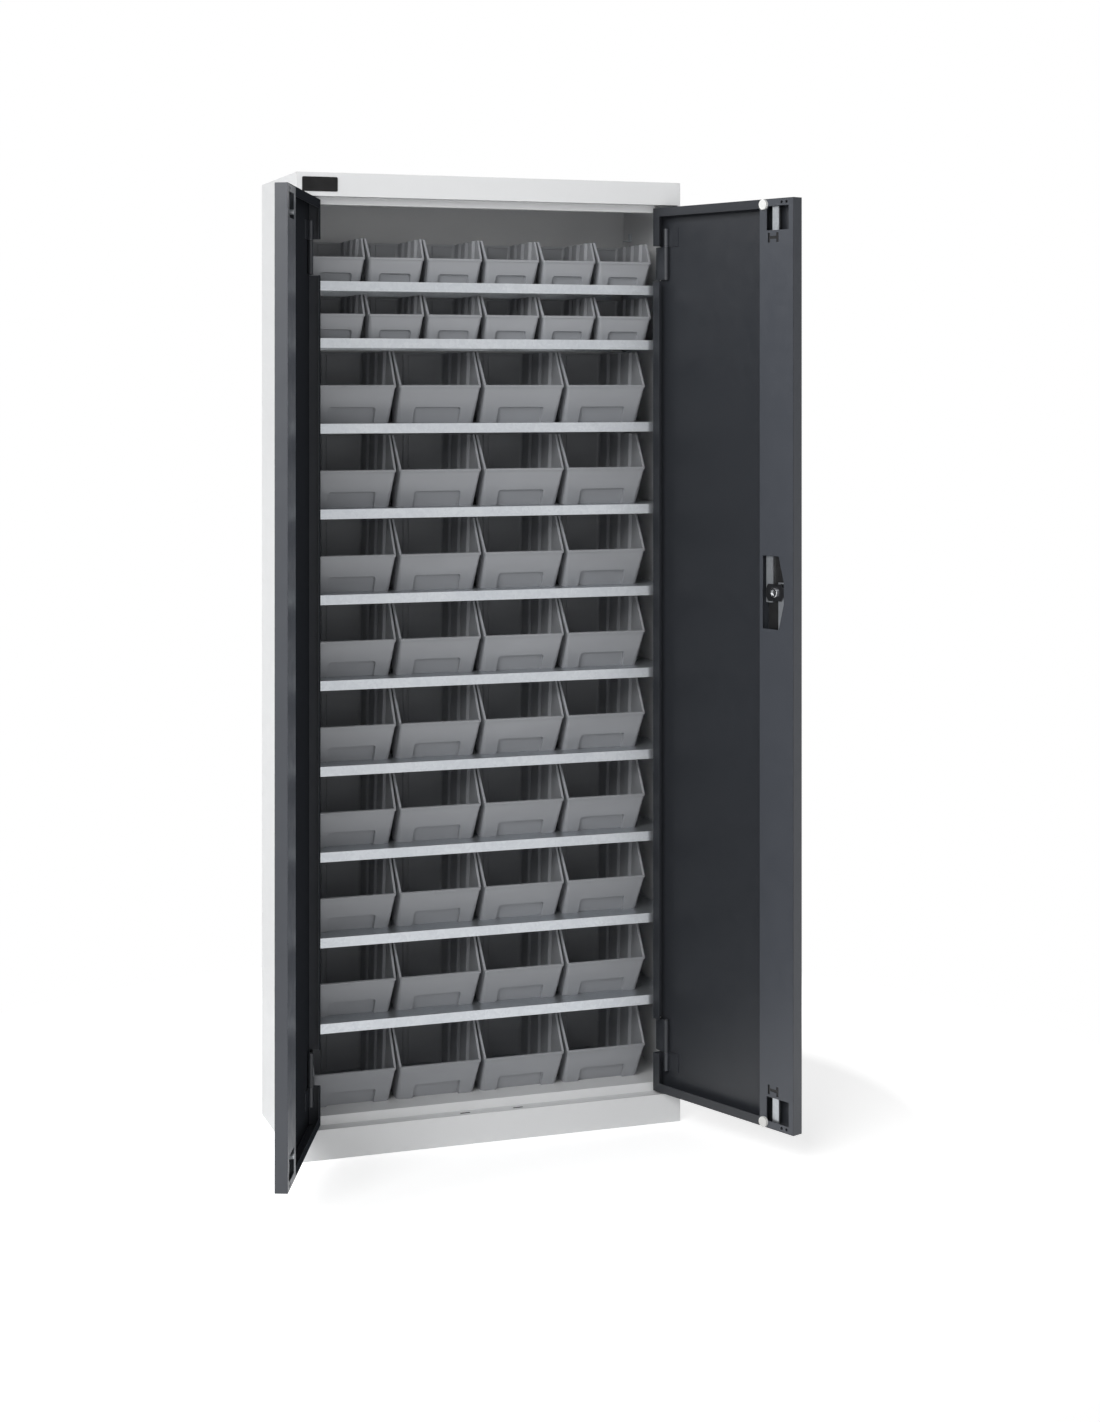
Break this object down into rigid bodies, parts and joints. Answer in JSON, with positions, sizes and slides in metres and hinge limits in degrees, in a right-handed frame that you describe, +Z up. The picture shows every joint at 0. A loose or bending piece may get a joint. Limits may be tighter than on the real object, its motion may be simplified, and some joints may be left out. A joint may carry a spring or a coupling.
{
  "type": "parts bin cabinet",
  "caption": "Tall sheet steel cabinet with two hinged rod-bolted doors and shelves of open-front plastic bins for small parts.",
  "frame": {"origin": "on the floor, in the middle of the foot flange under the plinth's front", "axes": "+X to the right seen from the front, +Y to the back, +Z up"},
  "size_m": [0.8788, 0.5658, 1.632],
  "materials": {
    "carcass_paint": "light grey powder coat, satin",
    "door_paint": "dark grey powder coat, satin",
    "galvanised": "galvanised with a light spangle",
    "bin_plastic": "moulded, fine satin",
    "white_plastic": "moulded, satin",
    "black_plastic": "moulded, fine grain",
    "badge_plastic": "plain, glossy",
    "dark_steel": "black oxide",
    "bright_metal": "bright plated"
  },
  "bodies": {
    "carcass": {"left_side": "carcass_paint", "right_side": "carcass_paint", "back_panel": "carcass_paint", "roof_fascia": "carcass_paint", "plinth": "carcass_paint", "floor_panel": "carcass_paint", "blank_badge": "badge_plastic", "shelf_1": "galvanised", "shelf_2": "galvanised", "shelf_3": "galvanised", "shelf_4": "galvanised", "shelf_5": "galvanised", "shelf_6": "galvanised", "shelf_7": "galvanised", "shelf_8": "galvanised", "shelf_9": "galvanised", "shelf_10": "galvanised", "left_shelf_clips": "galvanised", "right_shelf_clips": "galvanised", "hinge_brackets": "door_paint", "hinge_pins": "galvanised", "hinge_screws": "galvanised", "small_end_bins": "bin_plastic", "large_end_bins": "bin_plastic"},
    "row_1": {"bins_row_1": "bin_plastic"},
    "row_2": {"bins_row_2": "bin_plastic"},
    "row_3": {"bins_row_3": "bin_plastic"},
    "row_4": {"bins_row_4": "bin_plastic"},
    "row_5": {"bins_row_5": "bin_plastic"},
    "row_6": {"bins_row_6": "bin_plastic"},
    "row_7": {"bins_row_7": "bin_plastic"},
    "row_8": {"bins_row_8": "bin_plastic"},
    "row_9": {"bins_row_9": "bin_plastic"},
    "row_10": {"bins_row_10": "bin_plastic"},
    "row_11": {"bins_row_11": "bin_plastic"},
    "left_door": {"left_door_skin": "door_paint", "left_door_stiffener": "door_paint", "left_hinge_leaves": "door_paint", "left_bolt_guides": "black_plastic"},
    "left_top_bolt": {"left_top_bolt": "galvanised"},
    "left_bottom_bolt": {"left_bottom_bolt": "galvanised"},
    "right_door": {"right_door_skin": "door_paint", "right_door_stiffener": "door_paint", "right_hinge_leaves": "door_paint", "right_door_buffers": "white_plastic", "right_rod_guides": "black_plastic", "lock_case": "black_plastic", "handle_plate": "black_plastic"},
    "handle": {"lock_spindle": "bright_metal", "lock_cam": "dark_steel", "lock_nut": "bright_metal", "handle_lever": "black_plastic"},
    "upper_rod": {"upper_rod": "galvanised"},
    "lower_rod": {"lower_rod": "galvanised"},
    "key": {"key_cylinder": "bright_metal"}
  },
  "joints": [
    {"name": "right_door_hinge", "type": "hinge", "parent": "carcass", "child": "right_door", "pos_m": [0.316, -0.004, 0.8], "axis": [0, 0, 1], "range_deg": [-112, 6]},
    {"name": "left_door_hinge", "type": "hinge", "parent": "carcass", "child": "left_door", "pos_m": [-0.316, -0.004, 0.8], "axis": [0, 0, -1], "range_deg": [-112, 6]},
    {"name": "handle_turn", "type": "hinge", "parent": "right_door", "child": "handle", "pos_m": [0.42233, -0.25117, 0.938], "axis": [0.9272, 0.3746, 0], "range_deg": [0, 90]},
    {"name": "upper_rod_slide", "type": "slide", "parent": "right_door", "child": "upper_rod", "axis": [0, 0, 1], "range_m": [0, 0.0227]},
    {"name": "lower_rod_slide", "type": "slide", "parent": "right_door", "child": "lower_rod", "axis": [0, 0, -1], "range_m": [0, 0.0227]},
    {"name": "key_turn", "type": "hinge", "parent": "right_door", "child": "key", "pos_m": [0.42233, -0.25117, 0.974], "axis": [0.9272, 0.3746, 0], "range_deg": [0, 90]},
    {"name": "left_top_bolt_slide", "type": "slide", "parent": "left_door", "child": "left_top_bolt", "axis": [0, 0, 1], "range_m": [0, 0.02]},
    {"name": "left_bottom_bolt_slide", "type": "slide", "parent": "left_door", "child": "left_bottom_bolt", "axis": [0, 0, -1], "range_m": [0, 0.02]},
    {"name": "row_1_slide", "type": "slide", "parent": "carcass", "child": "row_1", "axis": [0, -1, 0], "range_m": [0, 0.14]},
    {"name": "row_2_slide", "type": "slide", "parent": "carcass", "child": "row_2", "axis": [0, -1, 0], "range_m": [0, 0.14]},
    {"name": "row_3_slide", "type": "slide", "parent": "carcass", "child": "row_3", "axis": [0, -1, 0], "range_m": [0, 0.2]},
    {"name": "row_4_slide", "type": "slide", "parent": "carcass", "child": "row_4", "axis": [0, -1, 0], "range_m": [0, 0.2]},
    {"name": "row_5_slide", "type": "slide", "parent": "carcass", "child": "row_5", "axis": [0, -1, 0], "range_m": [0, 0.2]},
    {"name": "row_6_slide", "type": "slide", "parent": "carcass", "child": "row_6", "axis": [0, -1, 0], "range_m": [0, 0.2]},
    {"name": "row_7_slide", "type": "slide", "parent": "carcass", "child": "row_7", "axis": [0, -1, 0], "range_m": [0, 0.2]},
    {"name": "row_8_slide", "type": "slide", "parent": "carcass", "child": "row_8", "axis": [0, -1, 0], "range_m": [0, 0.2]},
    {"name": "row_9_slide", "type": "slide", "parent": "carcass", "child": "row_9", "axis": [0, -1, 0], "range_m": [0, 0.2]},
    {"name": "row_10_slide", "type": "slide", "parent": "carcass", "child": "row_10", "axis": [0, -1, 0], "range_m": [0, 0.2]},
    {"name": "row_11_slide", "type": "slide", "parent": "carcass", "child": "row_11", "axis": [0, -1, 0], "range_m": [0, 0.2]}
  ],
  "couplings": [
    {"joint": "upper_rod_slide", "follows": "handle_turn", "m_per_rad": 0.014405},
    {"joint": "lower_rod_slide", "follows": "handle_turn", "m_per_rad": 0.014405}
  ]
}
